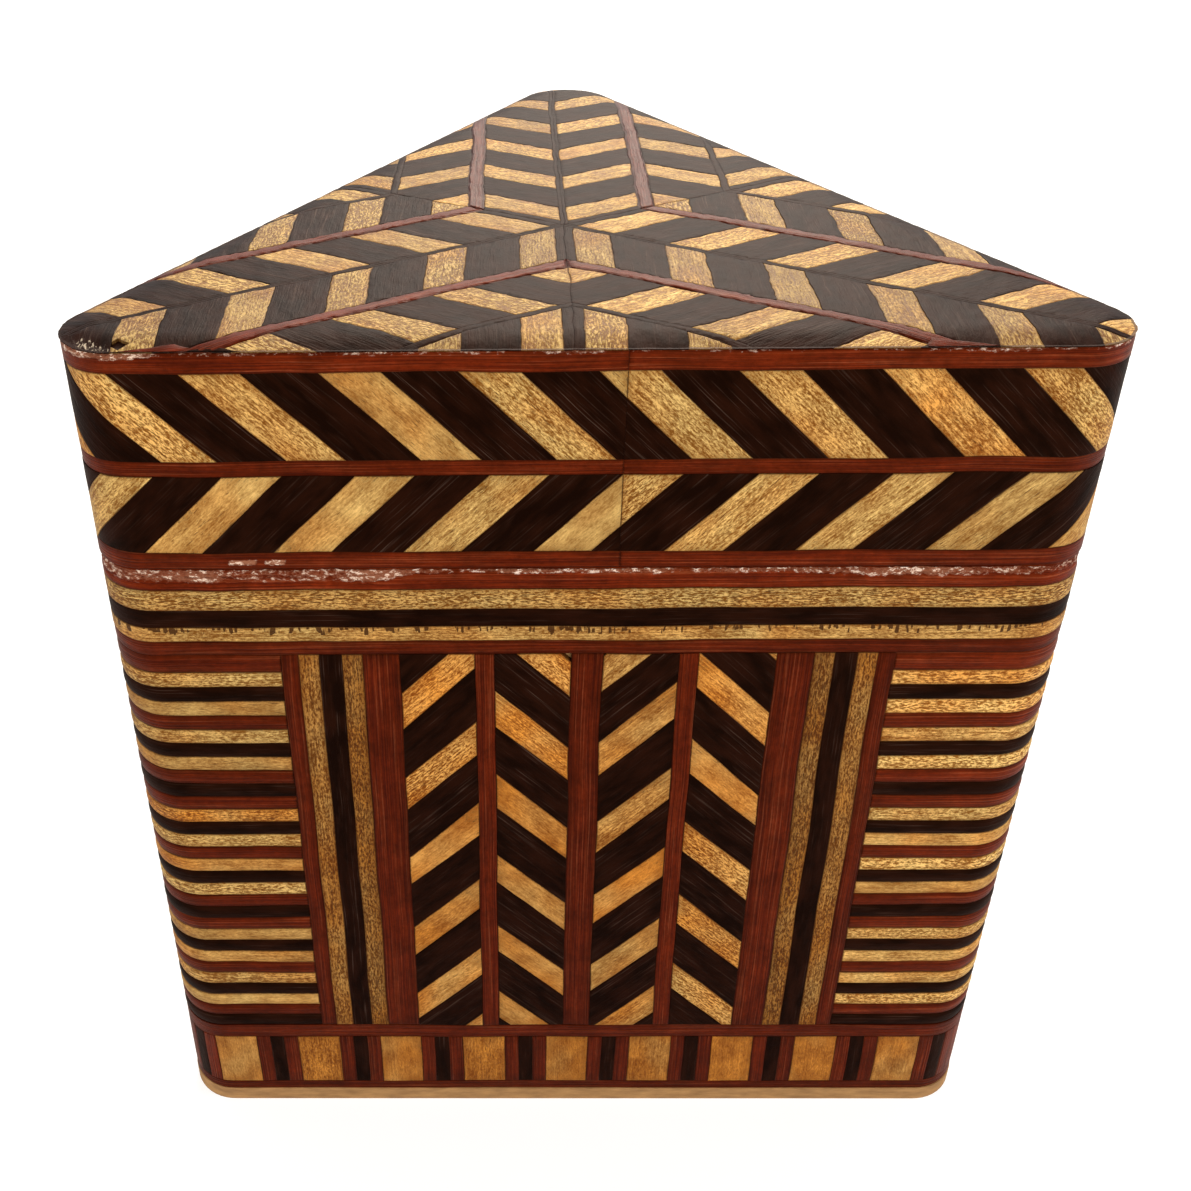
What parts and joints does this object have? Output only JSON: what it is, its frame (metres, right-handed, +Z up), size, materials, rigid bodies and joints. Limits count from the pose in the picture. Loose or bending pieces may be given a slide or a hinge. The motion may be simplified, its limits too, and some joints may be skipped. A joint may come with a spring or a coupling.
{
  "type": "keepsake box",
  "caption": "Three-sided wooden keepsake box with rounded corners, a lift-off lid and striped and herringbone strip marquetry in pale, black and red wood.",
  "frame": {"origin": "centre of the triangle on the underside of the base board", "axes": "+Z up, one flat side faces -Y, one corner points along +Y"},
  "size_m": [0.1032, 0.091, 0.11],
  "materials": {
    "core_wood": "bare sawn softwood",
    "pale_wood": "bare sanded plywood",
    "maple_veneer": "satin lacquer over pale golden wood",
    "black_veneer": "satin lacquer over black wood",
    "red_veneer": "satin lacquer over dark red wood"
  },
  "bodies": {
    "box": {"base_board": "pale_wood", "wall_front": "core_wood", "wall_right": "core_wood", "wall_left": "core_wood", "lining_front": "pale_wood", "lining_right": "pale_wood", "lining_left": "pale_wood", "foot_line": "red_veneer", "block_maple_pieces": "maple_veneer", "block_black_pieces": "black_veneer", "block_red_pieces": "red_veneer", "base_line": "red_veneer", "corner_maple_strips": "maple_veneer", "corner_black_strips": "black_veneer", "corner_red_strips": "red_veneer", "border_red_strips": "red_veneer", "border_maple_strips": "maple_veneer", "border_black_strips": "black_veneer", "wide_bars": "red_veneer", "centre_bars": "red_veneer", "divider_bars": "red_veneer", "chevron_maple_pieces": "maple_veneer", "chevron_black_pieces": "black_veneer", "header_band": "red_veneer", "narrow_maple_band": "maple_veneer", "black_band": "black_veneer", "wide_maple_band": "maple_veneer", "rim_band": "red_veneer"},
    "lid": {"lid_board": "core_wood", "lid_wall_front": "core_wood", "lid_wall_right": "core_wood", "lid_wall_left": "core_wood", "lid_low_band": "red_veneer", "lower_maple_stripes": "maple_veneer", "lower_black_stripes": "black_veneer", "lid_mid_band": "red_veneer", "upper_maple_stripes": "maple_veneer", "upper_black_stripes": "black_veneer", "lid_edge_band": "red_veneer", "top_maple_pieces": "maple_veneer", "top_black_pieces": "black_veneer", "top_red_lines": "red_veneer", "top_black_strings": "black_veneer"}
  },
  "joints": [
    {"name": "lid_lift", "type": "slide", "parent": "box", "child": "lid", "axis": [0, 0, 1], "range_m": [0, 0.06]}
  ]
}
